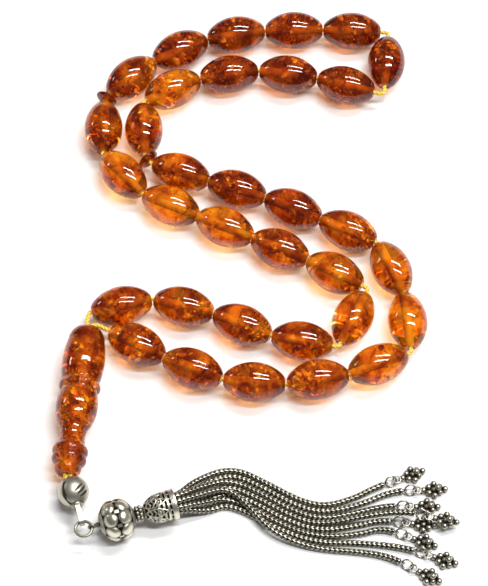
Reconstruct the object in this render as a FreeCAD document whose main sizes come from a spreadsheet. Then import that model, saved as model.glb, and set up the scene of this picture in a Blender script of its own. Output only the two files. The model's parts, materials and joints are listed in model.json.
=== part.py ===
"""Misbaha: 33 amber beads, two dividers and a leader bead on a knotted thread, with a silver tassel.

The string lies flat, +Z up, on Z = 0. +X runs along the tassel towards its tips and +Y from the
tassel to the far end of the loop. Lengths are in millimetres and angles in degrees.
"""
import FreeCAD, Part
import Sketcher
import math
import operator
import os

Vector = FreeCAD.Vector
UP = Vector(0, 0, 1)

doc = FreeCAD.newDocument("misbaha")

# ---------------------------------------------------------------- driving dimensions

SIZES = {
    "origin_x": -0.36,
    "origin_y": 6.05,
    "bead_length": 15.0,
    "bead_radius": 4.9,
    "bead_end_radius": 1.65,
    "bead_edge_fillet": 0.35,
    "bore_radius": 0.75,
    "thread_radius": 0.55,
    "divider_radius": 2.8,
    "divider_thickness": 1.9,
    "divider_rim": 0.35,
    "divider_boss": 1.1,
    "divider_dome_radius": 3.0,
    "imam_length": 40.0,
    "imam_radius": 5.2,
    "imam_bore_radius": 1.35,
    "knot_radius": 1.3,
    "cover_radius": 3.75,
    "cover_wall": 0.45,
    "cover_thread_hole": 1.9,
    "cover_half_angle": 177.0,
    "front_bail_hole": 1.65,
    "rear_bail_hole": 0.6,
    "bail_foot_radius": 1.5,
    "bail_foot_height": 0.7,
    "bail_width": 1.2,
    "bail_slot": 0.8,
    "bail_strap": 0.45,
    "bail_length": 4.17,
    "link_radius": 1.95,
    "link_wire": 0.36,
    "eye_radius": 0.85,
    "eye_wire": 0.27,
    "wrap_radius": 0.45,
    "wrap_wire": 0.18,
    "pin_radius": 0.4,
    "pin_length": 17.1,
    "plate_radius": 2.6,
    "plate_thickness": 0.5,
    "ball_length": 8.6,
    "ball_radius": 4.85,
    "ball_end_radius": 1.4,
    "dome_radius": 2.0,
    "silver_bore": 0.52,
    "collar_length": 1.9,
    "collar_radius": 1.2,
    "collar_granule": 0.45,
    "cone_length": 7.9,
    "cone_radius": 3.8,
    "cone_tip_radius": 1.3,
    "cone_shoulder": 5.2,
    "cone_rim": 0.6,
    "cone_wall": 0.5,
    "window_radius": 0.45,
    "chain_radius": 0.7,
    "granule_radius": 0.78,
    "cluster_eye_radius": 0.9,
    "cluster_wire": 0.22,
    "jump_radius": 1.35,
}

# heading of each bead along the string, from the leader bead round the loop and back
BEAD_HEADINGS = [
    -29, -23, -5, 10, 22, 94, 113, 154, 155, 161, 160,
    93, 27, 9, -9, -17, 85, 177, 181, 190, 207, 223,
    270, 311, 335, 335, 335, 331, 245, 169, 156, 165, 194,
]  # fmt: skip
BEADS_PER_SET = 11
STRING_START = (-32.7, -13.7)
BEAD_GAP = 0.15
TOUCHING_RADIUS = 1.33
GENTLEST_BEND = 12.0

IMAM_TOP = (-38.1, -13.0, 5.25)
IMAM_HEADING = 264.4
# radius and height along the leader bead as shares of its largest radius and its length,
# and the bow of the curve that leads there: positive swells, negative hollows, zero is straight
IMAM_PROFILE = [
    (0.42, 0.0, 0.0),
    (0.59, 0.066, 0.55),
    (0.72, 0.124, 0.75),
    (0.71, 0.185, 0.62),
    (0.66, 0.307, -0.45),
    (0.83, 0.566, 1.2),
    (0.85, 0.61, 0.72),
    (0.87, 0.902, 0.75),
    (0.37, 1.0, 0.75),
]
STRAND_OFFSET = 0.6
COVER_CENTRE = (-40.3, -57.2, 5.1)
COVER_HEADING = -74.0
COVER_SEAM_ROLL = 35.0
LINK_DISTANCE = 9.95
PIN_HEADING = 17.0
EYE_OFFSET = 2.05
BALL_OFFSET, COLLAR_OFFSET, CONE_OFFSET = 3.8, 12.5, 14.5
DOMES_ROUND = 8
CHAIN_OFFSET = 20.0

# the bundle of chains as it lies: point, heading and height of its middle line
BUNDLE = [
    ((-9.9, -56.6), 26.0),
    ((-3.6, -53.6), -10.0),
    ((3.6, -57.0), -38.0),
    ((10.2, -61.1), -33.0),
    ((17.6, -64.3), -14.0),
]
# by chain: its place in the cone's mouth (sideways, up), then its sideways place and height at
# each step of the bundle, then one more point on the way to its cluster
CHAINS = {
    1: ((1.72, 0.0), [(4.1, 2.4), (5.1, 0.8), (4.5, 0.8), (4.6, 0.8), (5.4, 0.8)], (26.0, -57.0, 0.8)),
    2: ((1.07, -1.34), [(2.7, 1.2), (3.4, 0.8), (3.0, 0.8), (3.0, 0.8), (3.6, 0.8)], (28.0, -58.5, 0.8)),
    3: ((1.07, 1.34), [(1.4, 3.7), (1.7, 0.8), (1.5, 0.8), (1.5, 0.8), (1.9, 0.8)], (27.0, -60.6, 0.8)),
    4: ((0.0, 0.0), [(0.0, 2.2), (0.0, 0.8), (0.0, 0.8), (0.0, 0.8), (0.35, 0.8)], (29.0, -62.1, 2.4)),
    8: ((-0.38, -1.68), [(-1.3, 0.9), (-1.7, 0.8), (-1.5, 0.8), (-1.5, 0.8), (-1.2, 0.8)], (26.5, -64.2, 0.8)),
    5: ((-1.55, 0.75), [(-2.6, 3.2), (-3.4, 0.8), (-3.0, 0.8), (-3.0, 0.8), (-2.7, 0.8)], (27.0, -66.4, 0.8)),
    6: ((-1.55, -0.75), [(-4.1, 0.9), (-5.1, 0.8), (-4.5, 0.8), (-4.5, 0.8), (-4.2, 0.8)], (28.0, -68.5, 0.8)),
    7: ((-0.38, 1.68), [(-0.9, 4.6), (-1.2, 2.35), (-3.6, 2.4), (-6.4, 2.2), (-5.8, 0.8)], (28.0, -70.8, 0.8)),
}  # fmt: skip

# by cluster: its middle, its heading and whether it lies on the floor or across its neighbour
CLUSTERS = {
    1: ((40.3, -50.6), 22.0, 0.8),
    2: ((45.3, -54.6), 4.0, 0.8),
    3: ((43.4, -59.1), 0.0, 0.8),
    4: ((47.6, -63.4), -12.0, 2.5),
    5: ((42.5, -68.3), -20.0, 0.8),
    6: ((47.1, -72.9), -18.0, 0.8),
    7: ((43.3, -77.0), -28.0, 0.8),
    8: ((42.4, -63.7), -5.0, 0.8),
}
GRANULE_PITCH = 1.5
CLUSTER_EYE = (-4.1, 0.4)
JUMP_RING = (-5.7, 0.55)
JUMP_TILT = 55.0
CHAIN_END = 7.6

sheet = doc.addObject("Spreadsheet::Sheet", "sizes")
for row, (alias, value) in enumerate(SIZES.items(), start=1):
    sheet.set(f"A{row}", alias)
    sheet.set(f"B{row}", str(value))
    sheet.setAlias(f"B{row}", alias)
doc.recompute()


class Amount:
    """A number kept together with the sheet expression that gives it."""

    def __init__(self, value, text=None):
        self.value = float(value)
        self.text = text or repr(self.value)

    @staticmethod
    def of(thing):
        return thing if isinstance(thing, Amount) else Amount(thing)


def joined(sign, combine):
    """A method that combines two amounts and their expressions."""

    def method(left, right):
        left, right = Amount.of(left), Amount.of(right)
        return Amount(combine(left.value, right.value), f"({left.text} {sign} {right.text})")

    return method


for name, sign in (("add", "+"), ("sub", "-"), ("mul", "*"), ("truediv", "/")):
    method = joined(sign, getattr(operator, name))
    setattr(Amount, f"__{name}__", method)
    setattr(Amount, f"__r{name}__", lambda right, left, method=method: method(left, right))


def size(alias):
    """One cell of the sheet as an amount."""
    return Amount(sheet.get(alias), f"sizes.{alias}")


def root(amount):
    """The square root of an amount."""
    return Amount(math.sqrt(amount.value), f"sqrt({amount.text})")


def bowed(start, end, rise):
    """The radius of the arc from start to end that stands this far off the straight line."""
    across, along = end[0] - start[0], end[1] - start[1]
    chord = across * across + along * along
    return (chord / 4 + rise * rise) / (2 * rise)


# ---------------------------------------------------------------- helpers


def layout(x, y, z=0.0):
    """A point of the layout, measured from the part's origin."""
    return Vector(x - size("origin_x").value, y - size("origin_y").value, z)


def direction(heading):
    """The level unit vector at this heading."""
    turn = math.radians(heading)
    return Vector(math.cos(turn), math.sin(turn), 0)


def left_of(heading):
    """The level unit vector to the left of this heading."""
    return direction(heading + 90)


def aim(point, heading, roll=0.0):
    """The placement with local Z along the heading, local X to its left and local Y up, then rolled."""
    frame = FreeCAD.Rotation(left_of(heading), UP, direction(heading), "ZXY")
    return FreeCAD.Placement(point, frame * FreeCAD.Rotation(UP, roll))


def moved(x=0.0, y=0.0, z=0.0, axis=UP, angle=0.0):
    """A placement by an offset and a turn."""
    return FreeCAD.Placement(Vector(x, y, z), FreeCAD.Rotation(axis, angle))


def bind(item, **amounts):
    """Binds properties of a document object to expressions over the sheet."""
    for name, amount in amounts.items():
        setattr(item, name, amount.value)
        item.setExpression(name, amount.text)
    return item


def arc_between(start, end, radius):
    """The short arc from start to end. It turns left, or right where the radius is negative."""
    chord = end - start
    left = Vector(-chord.y, chord.x, 0).normalize()
    reach = math.sqrt(max(radius**2 - (chord.Length / 2) ** 2, 0))
    centre = (start + end) / 2 + left * math.copysign(reach, radius)
    first, last = (start, end) if radius > 0 else (end, start)
    angles = [math.atan2(p.y - centre.y, p.x - centre.x) for p in (first, last)]
    return Part.ArcOfCircle(Part.Circle(centre, UP, abs(radius)), *angles)


def outline_sketch(body, name, outline):
    """A closed outline in the body's XZ plane, bound to the sheet.

    Each entry is the next corner (x, z), reached by a line, or (x, z, radius), reached by an arc
    that turns left, or right where side is -1: (x, z, radius, -1).
    """
    sketch = body.newObject("Sketcher::SketchObject", name)
    plane = next(f for f in body.Origin.OriginFeatures if f.Role == "XZ_Plane")
    sketch.AttachmentSupport = (plane, [""])
    sketch.MapMode = "FlatFace"
    outline = [tuple(Amount.of(c) for c in corner[:3]) + tuple(corner[3:]) for corner in outline]
    corners = [Vector(corner[0].value, corner[1].value, 0) for corner in outline]
    ends = []
    for number, corner in enumerate(outline):
        start, end = corners[number - 1], corners[number]
        side = corner[3] if len(corner) > 3 else 1
        if len(corner) == 2:
            sketch.addGeometry(Part.LineSegment(start, end))
        else:
            sketch.addGeometry(arc_between(start, end, side * corner[2].value))
        ends.append((1, 2) if side > 0 else (2, 1))
    for number, corner in enumerate(outline):
        following = (number + 1) % len(outline)
        point = ends[number][1]
        sketch.addConstraint(
            Sketcher.Constraint("Coincident", number, point, following, ends[following][0])
        )
        for kind, amount, axis in (("DistanceX", corner[0], -2), ("DistanceY", corner[1], -1)):
            if amount.value == 0:
                sketch.addConstraint(Sketcher.Constraint("PointOnObject", number, point, axis))
                continue
            made = sketch.addConstraint(Sketcher.Constraint(kind, -1, 1, number, point, amount.value))
            sketch.setExpression(f"Constraints[{made}]", amount.text)
        if len(corner) > 2:
            made = sketch.addConstraint(Sketcher.Constraint("Radius", number, corner[2].value))
            sketch.setExpression(f"Constraints[{made}]", corner[2].text)
    return sketch


def turned(label, outline, angle=None):
    """A body turned about its local Z axis, all the way round or centred on the XZ plane."""
    body = doc.addObject("PartDesign::Body", label)
    sketch = outline_sketch(body, f"{label}_outline", outline)
    turn = body.newObject("PartDesign::Revolution", f"{label}_turn")
    turn.Profile = sketch
    turn.ReferenceAxis = (sketch, ["V_Axis"])
    if angle:
        turn.Midplane = True
        bind(turn, Angle=angle)
    doc.recompute()
    return body


def soften(body, rim, fillet):
    """Rounds the circular edges of this radius."""
    shaped = body.Tip
    edges = [
        f"Edge{number}"
        for number, edge in enumerate(shaped.Shape.Edges, start=1)
        if isinstance(edge.Curve, Part.Circle) and abs(edge.Curve.Radius - rim.value) < 1e-4
    ]
    rounded = body.newObject("PartDesign::Fillet", f"{body.Name}_edges")
    rounded.Base = (shaped, edges)
    bind(rounded, Radius=fillet)
    doc.recompute()


def barrel(length, end, radius, bore):
    """A barrel outline: a flat ring at each end and one arc between them."""
    flank = bowed((end, 0), (end, length), radius - end)
    return [(bore, 0), (end, 0), (end, length, flank), (bore, length)]


def ring(label, radius, wire, placement=None):
    """A round wire ring about its local Z axis."""
    item = bind(doc.addObject("Part::Torus", label), Radius1=radius, Radius2=wire)
    item.Placement = placement or FreeCAD.Placement()
    return item


def rod(label, radius, height, placement=None):
    """A plain cylinder along its local Z axis."""
    item = bind(doc.addObject("Part::Cylinder", label), Radius=radius, Height=height)
    item.Placement = placement or FreeCAD.Placement()
    return item


def granule(label, radius, x, y, z, seam=0.0):
    """A small round grain with its surface's seam at this heading, clear of where it is soldered."""
    item = bind(doc.addObject("Part::Sphere", label), Radius=radius)
    item.Placement = moved(x, y, z, angle=seam)
    return item


def fused(label, pieces, placement=None):
    """One solid soldered from several pieces."""
    item = doc.addObject("Part::MultiFuse", label)
    item.Shapes = pieces
    item.Placement = placement or FreeCAD.Placement()
    return item


def cut(label, base, tool, placement=None):
    """A piece with another taken out of it."""
    item = doc.addObject("Part::Cut", label)
    item.Base, item.Tool = base, tool
    item.Placement = placement or FreeCAD.Placement()
    return item


def rounded_path(points, radii):
    """Straight runs through the points, with an arc of the given radius at each inner one."""
    edges, reached = [], points[0]
    for before, here, after, radius in zip(points, points[1:], points[2:], radii):
        into, out = (here - before).normalize(), (after - here).normalize()
        turn = into.getAngle(out)
        if turn < 1e-4:
            continue
        inset = radius * math.tan(turn / 2)
        first, last = here - into * inset, here + out * inset
        middle = here + (out - into).normalize() * (radius * (1 / math.cos(turn / 2) - 1))
        edges.append(Part.LineSegment(reached, first).toShape())
        edges.append(Part.Arc(first, middle, last).toShape())
        reached = last
    edges.append(Part.LineSegment(reached, points[-1]).toShape())
    return Part.Wire(edges)


def tube(label, path, radius):
    """A round tube swept along a path."""
    start = path.Edges[0]
    begin = start.FirstParameter
    circle = Part.Circle(start.valueAt(begin), start.tangentAt(begin), radius)
    sweep = Part.BRepOffsetAPI.MakePipeShell(path)
    sweep.add(Part.Wire([circle.toShape()]))
    sweep.build()
    sweep.makeSolid()
    solid = sweep.shape()
    share = solid.Volume / (path.Length * math.pi * radius**2)
    bends = [edge.Curve.Radius for edge in path.Edges if isinstance(edge.Curve, Part.Circle)]
    print(f"{label}: {path.Length:.2f} mm long, tightest bend {min(bends):.2f} mm, volume {share:.4f}")
    return solid


# ---------------------------------------------------------------- the string of beads

thread_points, thread_radii = [], []
NODES = []


def between(heading, following):
    """The gap two pieces need when the string turns from one heading to the next."""
    return BEAD_GAP + 2 * TOUCHING_RADIUS * math.tan(abs(turn_to(heading, following)) / 2)


def turn_to(heading, following):
    """The turn between two headings, in radians."""
    return math.radians((following - heading + 180) % 360 - 180)


bead_axis_height = size("bead_radius").value
place = layout(*STRING_START, bead_axis_height)
string = []
for number, heading in enumerate(BEAD_HEADINGS):
    if number and number % BEADS_PER_SET == 0:
        middle = BEAD_HEADINGS[number - 1] + math.degrees(turn_to(BEAD_HEADINGS[number - 1], heading)) / 2
        string.append((f"divider_{number // BEADS_PER_SET}", middle, size("divider_thickness").value))
    string.append((f"bead_{number + 1:02d}", heading, size("bead_length").value))

previous = None
for label, heading, length in string:
    if previous is not None:
        turn = turn_to(previous, heading)
        gap = between(previous, heading)
        mean = previous + math.degrees(turn) / 2
        if abs(turn) > 1e-6:
            reach = gap / 2 / math.cos(turn / 2)
            thread_points.append(place + direction(previous) * reach)
            thread_radii.append(min(gap / 2 / math.tan(abs(turn) / 2), GENTLEST_BEND))
        place = place + direction(mean) * gap
    if label.startswith("bead"):
        piece = turned(
            label,
            barrel(size("bead_length"), size("bead_end_radius"), size("bead_radius"), size("bore_radius")),
        )
        soften(piece, size("bead_end_radius"), size("bead_edge_fillet"))
    else:
        boss, rim, half = size("divider_boss"), size("divider_rim"), size("divider_thickness") / 2
        edge, dome = size("divider_radius"), size("divider_dome_radius")
        piece = turned(
            label,
            [
                (size("bore_radius"), 0),
                (boss, 0),
                (edge, half - rim / 2, dome),
                (edge, half + rim / 2),
                (boss, half * 2, dome),
                (size("bore_radius"), half * 2),
            ],
        )
    piece.Placement = aim(place, heading)
    NODES.append(piece)
    place = place + direction(heading) * length
    previous = heading
string_end = place


# ---------------------------------------------------------------- leader bead and thread

top = layout(*IMAM_TOP)
bottom = top + direction(IMAM_HEADING) * size("imam_length").value
outline = [(size("imam_bore_radius"), 0)]
for share, height, bow in IMAM_PROFILE:
    corner = (size("imam_radius") * share, size("imam_length") * height)
    if bow:
        corner += (bowed(outline[-1], corner, Amount(abs(bow))), math.copysign(1, bow))
    outline.append(corner)
outline.append((size("imam_bore_radius"), size("imam_length")))
imam = turned("imam", outline)
imam.Placement = aim(bottom, IMAM_HEADING + 180)
NODES.append(imam)


def crossing(point, heading, other, other_heading):
    """The point where two level lines cross, at the height of the first."""
    a, b, apart = direction(heading), direction(other_heading), other - point
    along = (apart.x * b.y - apart.y * b.x) / (a.x * b.y - a.y * b.x)
    return point + a * along


cover_centre = layout(*COVER_CENTRE)
strands = []
for side in (1, -1):
    offset = left_of(IMAM_HEADING) * (STRAND_OFFSET * side)
    strands.append([cover_centre + offset, bottom + direction(IMAM_HEADING) * 0.5 + offset, top + offset])
string_start = layout(*STRING_START, bead_axis_height)
first_corner = crossing(strands[0][2], IMAM_HEADING, string_start, BEAD_HEADINGS[0])
last_corner = crossing(string_end, BEAD_HEADINGS[-1], strands[1][2], IMAM_HEADING)
points = [
    *strands[0][:2],
    first_corner,
    string_start - direction(BEAD_HEADINGS[0]) * 0.5,
    *thread_points,
    last_corner,
    strands[1][2] - direction(IMAM_HEADING) * 0.6,
    *reversed(strands[1][:2]),
]
radii = [1.5, 1.1, GENTLEST_BEND, *thread_radii, 0.85, GENTLEST_BEND, 1.5]
thread_body = tube("thread", rounded_path(points, radii), size("thread_radius").value)
strand = doc.addObject("Part::Feature", "strand")
strand.Shape = thread_body
knot = granule("knot", size("knot_radius"), *cover_centre)
thread = fused("thread", [strand, knot])
NODES.append(thread)


# ---------------------------------------------------------------- knot cover and link ring

radius, inner = size("cover_radius"), size("cover_radius") - size("cover_wall")


def shell_outline(bail_hole):
    """The wall of the knot cover from its thread hole to its bail hole."""
    thread_hole = size("cover_thread_hole")
    return [
        (thread_hole, radius - root(inner * inner - thread_hole * thread_hole)),
        (thread_hole, radius - root(radius * radius - thread_hole * thread_hole)),
        (bail_hole, radius + root(radius * radius - bail_hole * bail_hole), radius),
        (bail_hole, radius + root(inner * inner - bail_hole * bail_hole)),
    ]


def shell(label, bail_hole):
    """One half of the knot cover."""
    outline = shell_outline(bail_hole)
    outline[0] += (inner, -1)
    return turned(label, outline, size("cover_half_angle"))


cover_start = cover_centre - direction(COVER_HEADING) * radius.value
front = shell("knot_cover_front", size("front_bail_hole"))
front.Placement = aim(cover_start, COVER_HEADING, COVER_SEAM_ROLL)
NODES.append(front)

rear_shell = shell("rear_shell", size("rear_bail_hole"))
rear_shell.Placement = moved(axis=UP, angle=COVER_SEAM_ROLL + 180)
foot = rod("bail_foot", size("bail_foot_radius"), size("bail_foot_height"))
foot.Placement = moved(z=radius.value * 2 - 0.55)
slot, strap, width, reach = size("bail_slot"), size("bail_strap"), size("bail_width"), size("bail_length")
loop_start = radius.value * 2 - 0.1


def stadium(label, half_height, width, length, start):
    """A block with one round end, upright in the local YZ plane."""
    block = bind(doc.addObject("Part::Box", f"{label}_block"), Length=width, Width=half_height * 2, Height=length)
    block.Placement = moved(-width.value / 2, -half_height.value, start)
    end = rod(f"{label}_end", half_height, width)
    end.Placement = FreeCAD.Placement(
        Vector(-width.value / 2, 0, start + length.value), FreeCAD.Rotation(Vector(0, 1, 0), 90)
    )
    return fused(label, [block, end])


bail_outside = stadium("bail_outside", slot + strap, width, reach, loop_start)
bail_inside = stadium("bail_inside", slot, width * 2, reach, loop_start)
bail = cut("bail", bail_outside, bail_inside)
rear = fused("knot_cover_rear", [rear_shell, foot, bail], aim(cover_start, COVER_HEADING))
NODES.append(rear)

link_centre = cover_centre + direction(COVER_HEADING) * LINK_DISTANCE
link = ring("link_ring", size("link_radius"), size("link_wire"))
link.Placement = FreeCAD.Placement(link_centre, FreeCAD.Rotation())
NODES.append(link)


# ---------------------------------------------------------------- pin, ball, collar and cone


def on_pin(distance):
    """The placement on the pin's axis this far from the middle of the link ring."""
    return aim(link_centre + direction(PIN_HEADING) * distance, PIN_HEADING)


eye_end = size("eye_radius").value
pin = fused(
    "eye_pin",
    [
        ring("eye", size("eye_radius"), size("eye_wire"), moved(axis=Vector(0, 1, 0), angle=90)),
        rod("shaft", size("pin_radius"), size("pin_length"), moved(z=eye_end)),
        ring("wrap_1", size("wrap_radius"), size("wrap_wire"), moved(z=eye_end + 0.3)),
        ring("wrap_2", size("wrap_radius"), size("wrap_wire"), moved(z=eye_end + 0.6)),
        rod(
            "plate",
            size("plate_radius"),
            size("plate_thickness"),
            moved(z=CHAIN_OFFSET - EYE_OFFSET - size("plate_thickness").value),
        ),
    ],
    on_pin(EYE_OFFSET),
)
NODES.append(pin)

ball_core = turned(
    "ball_core",
    barrel(size("ball_length"), size("ball_end_radius"), size("ball_radius"), size("silver_bore")),
)
domes = []
for side in (-1, 1):
    for number in range(DOMES_ROUND):
        angle = math.radians(360 / DOMES_ROUND * number)
        domes.append(
            granule(
                f"dome_{len(domes) + 1}",
                size("dome_radius"),
                3.08 * math.cos(angle),
                3.08 * math.sin(angle),
                size("ball_length").value / 2 + side * 1.25,
            )
        )
ball = fused("ball", [ball_core, *domes], on_pin(BALL_OFFSET))
NODES.append(ball)

collar_length, silver_bore = size("collar_length"), size("silver_bore")
collar_tube = turned(
    "collar_tube",
    [
        (silver_bore, 0),
        (size("collar_radius"), 0),
        (size("collar_radius"), collar_length),
        (silver_bore, collar_length),
    ],
)
grains = []
for height in (0.28, 0.72):
    for number in range(10):
        heading = 36 * number + (18 if height > 0.5 else 0)
        angle = math.radians(heading)
        reach = size("collar_radius").value + 0.3
        grains.append(
            granule(
                f"collar_grain_{len(grains) + 1}",
                size("collar_granule"),
                reach * math.cos(angle),
                reach * math.sin(angle),
                collar_length.value * height,
                heading,
            )
        )
collar = fused("granule_collar", [collar_tube, *grains], on_pin(COLLAR_OFFSET))
NODES.append(collar)

tip, mouth, length = size("cone_tip_radius"), size("cone_radius"), size("cone_length")
shoulder, rim, wall = size("cone_shoulder"), size("cone_rim"), size("cone_wall")
outside = [(tip, 0), (mouth - 0.3, shoulder), (mouth - 0.1, length - rim), (mouth, length - rim), (mouth, length)]
inside = [(mouth - wall - 0.1, length), (mouth - wall - 0.3, shoulder), (silver_bore, wall)]
cone_wall = turned(
    "cone_wall",
    [
        (silver_bore, 0),
        outside[0],
        outside[1] + (bowed(outside[0], outside[1], Amount(0.75)),),
        *outside[2:],
        *inside[:2],
        inside[2] + (bowed(inside[1], inside[2], Amount(0.75)), -1),
    ],
)
windows = []
for height in (0.42, 0.78):
    for number in range(DOMES_ROUND):
        angle = math.radians(360 / DOMES_ROUND * number)
        radial = Vector(math.cos(angle), math.sin(angle), 0)
        window = rod(f"window_{len(windows) + 1}", size("window_radius"), mouth * 1.5)
        window.Placement = FreeCAD.Placement(
            Vector(0, 0, length.value * height), FreeCAD.Rotation(UP, radial)
        )
        windows.append(window)
cone = cut("filigree_cone", cone_wall, fused("windows", windows), on_pin(CONE_OFFSET))
NODES.append(cone)


# ---------------------------------------------------------------- chains and clusters


def on_cluster(number, along, rise=0.0):
    """A point on a cluster's middle line."""
    (x, y), heading, height = CLUSTERS[number]
    return layout(x, y, height + rise) + direction(heading) * along


def chain_points(number):
    """The points one chain is drawn through, from the cone to its cluster."""
    (sideways, up), steps, onward = CHAINS[number]
    offset = left_of(PIN_HEADING) * sideways + UP * up
    points = [
        link_centre + direction(PIN_HEADING) * distance + offset
        for distance in (CHAIN_OFFSET, CHAIN_OFFSET + 3.4)
    ]
    for ((x, y), heading), (sideways, height) in zip(BUNDLE, steps):
        points.append(layout(x, y, height) + left_of(heading) * sideways)
    points.append(layout(*onward))
    points.append(on_cluster(number, -CHAIN_END - 3.0, 0.3))
    points.append(on_cluster(number, -CHAIN_END, 0.5))
    return points


def even_bends(points):
    """The widest bends that leave a straight piece between them."""
    radii = []
    for before, here, after in zip(points, points[1:], points[2:]):
        turn = (here - before).getAngle(after - here)
        shorter = min((here - before).Length, (after - here).Length)
        radii.append(0.45 * shorter / math.tan(turn / 2) if turn > 1e-4 else 1.0)
    return radii


for number in sorted(CHAINS):
    points = chain_points(number)
    chain = doc.addObject("Part::Feature", f"chain_{number}")
    chain.Shape = tube(chain.Label, rounded_path(points, even_bends(points)), size("chain_radius").value)
    NODES.append(chain)

for number, (_, heading, height) in sorted(CLUSTERS.items()):
    label = f"cluster_{number}"
    spread = [direction(angle) * GRANULE_PITCH for angle in (30, -30)]
    grains = []
    for row in (-1, 0, 1):
        for column in (-1, 0, 1):
            point = spread[0] * row + spread[1] * column
            grains.append(granule(f"{label}_grain_{len(grains) + 1}", size("granule_radius"), *point, 60))
    if number != 8:
        grains.append(granule(f"{label}_top", size("granule_radius"), 0.87, 0, 1.1))
    loop = ring(f"{label}_eye", size("cluster_eye_radius"), size("cluster_wire"))
    loop.Placement = moved(x=CLUSTER_EYE[0], z=CLUSTER_EYE[1])
    soldered = fused(f"{label}_soldered", [*grains, loop])
    jump = ring(f"{label}_jump", size("jump_radius"), size("cluster_wire"))
    jump.Placement = moved(x=JUMP_RING[0], z=JUMP_RING[1], axis=Vector(1, 0, 0), angle=JUMP_TILT)
    cluster = doc.addObject("Part::Compound", label)
    cluster.Links = [soldered, jump]
    cluster.Placement = FreeCAD.Placement(on_cluster(number, 0), FreeCAD.Rotation(UP, heading))
    NODES.append(cluster)

doc.recompute()


# ---------------------------------------------------------------- checks and export

for item in doc.Objects:
    if "Invalid" in item.State or "Error" in item.State:
        raise RuntimeError(f"{item.Label} has not rebuilt: {item.State}")
for node in NODES:
    if node.Shape.isNull() or not node.Shape.isValid():
        raise RuntimeError(f"{node.Label} has no valid shape")

os.makedirs("parts", exist_ok=True)
for node in NODES:
    node.Shape.exportStep(f"parts/{node.Label}.step")
print(f"{len(NODES)} parts exported")
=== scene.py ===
"""Looks for the misbaha: amber beads on a golden thread, with a silver tassel of woven chains.

Lengths on the object are in millimetres, and MM turns them into metres. Lights, the floor and the
scales of textures are in metres. Headings are in degrees.
"""

import json
import math
import random

import bpy
import numpy as np
from mathutils import Matrix, Vector


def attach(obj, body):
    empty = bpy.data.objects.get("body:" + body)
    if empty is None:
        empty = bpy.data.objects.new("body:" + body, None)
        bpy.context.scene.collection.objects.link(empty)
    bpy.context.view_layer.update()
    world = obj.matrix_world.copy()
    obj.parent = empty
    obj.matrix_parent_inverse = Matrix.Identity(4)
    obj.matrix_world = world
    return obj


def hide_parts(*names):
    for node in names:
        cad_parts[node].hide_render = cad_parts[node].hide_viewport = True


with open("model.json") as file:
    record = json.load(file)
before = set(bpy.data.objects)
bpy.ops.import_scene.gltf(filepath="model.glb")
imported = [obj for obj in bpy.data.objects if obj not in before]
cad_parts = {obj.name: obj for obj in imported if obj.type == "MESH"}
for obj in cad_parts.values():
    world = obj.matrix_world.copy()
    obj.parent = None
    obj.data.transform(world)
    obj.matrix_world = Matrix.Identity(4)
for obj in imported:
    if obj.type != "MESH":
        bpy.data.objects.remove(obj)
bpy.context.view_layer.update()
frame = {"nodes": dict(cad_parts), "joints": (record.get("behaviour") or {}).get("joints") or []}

MM = 0.001
FULL_TURN = 2 * math.pi
ORIGIN = Vector((-0.36, 6.05, 0.0))
JOINTS = {joint["name"]: joint for joint in frame["joints"]}
NODES = frame["nodes"]


def layout(x, y, z=0.0):
    """A point of the string's layout, from the part's origin, in millimetres."""
    return Vector((x, y, z)) - ORIGIN


def direction(heading):
    """The level unit vector at a heading, counted from +X towards +Y."""
    turn = math.radians(heading)
    return Vector((math.cos(turn), math.sin(turn), 0))


def left_of(heading):
    """The level unit vector to the left of a heading."""
    return direction(heading + 90)


def aim(point, along, roll=0.0):
    """Local Z along a level direction, local Y up, at a point in millimetres."""
    z = Vector(along).normalized()
    y = Vector((0, 0, 1))
    x = y.cross(z)
    turn = Matrix((x, y, z)).transposed().to_4x4()
    return Matrix.Translation(Vector(point) * MM) @ turn @ Matrix.Rotation(roll, 4, "Z")


# ---------------------------------------------------------------- camera, floor and light

CAMERA_PLACE = (0, -312.9, 541.9)
CAMERA_TILT, FIELD_OF_VIEW = math.radians(30), math.radians(13.32)
SENSOR_HEIGHT = 24

camera = bpy.data.objects.new("camera", bpy.data.cameras.new("camera"))
bpy.context.scene.collection.objects.link(camera)
camera.location = layout(*CAMERA_PLACE) * MM
camera.rotation_euler = (CAMERA_TILT, 0, 0)
camera.data.sensor_fit = "VERTICAL"
camera.data.sensor_height = SENSOR_HEIGHT
camera.data.lens = SENSOR_HEIGHT / 2 / math.tan(FIELD_OF_VIEW / 2)
camera.data.clip_start = 0.01
bpy.context.scene.camera = camera


def material(name):
    """A new node material, with its Principled shader."""
    made = bpy.data.materials.new(name)
    made.use_nodes = True
    return made, made.node_tree, made.node_tree.nodes["Principled BSDF"]


def area_light(name, point, size, power):
    """A rectangular light that faces the part's origin, with its length level. Its power is in watts."""
    lamp = bpy.data.lights.new(name, "AREA")
    lamp.shape = "RECTANGLE"
    lamp.size, lamp.size_y = size
    lamp.energy = power
    light = bpy.data.objects.new(name, lamp)
    bpy.context.scene.collection.objects.link(light)
    light.location = point
    z = Vector(point).normalized()
    x = (Vector((1, 0, 0)) - z * z.x).normalized()
    light.rotation_euler = Matrix((x, z.cross(x), z)).transposed().to_euler()


# Two parallel strips give each bead its pair of short highlights, in an otherwise dim room.
STRIP_SIZE, STRIP_POWER, ROOM_STRENGTH = (1.1, 0.12), 17, 0.1
area_light("strip_back", (0.44, 0.5, 1.38), STRIP_SIZE, STRIP_POWER)
area_light("strip_front", (0.44, -0.15, 1.42), STRIP_SIZE, STRIP_POWER)
area_light("window", (-1.3, 0.6, 0.6), (0.25, 0.12), 1.5)

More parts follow.
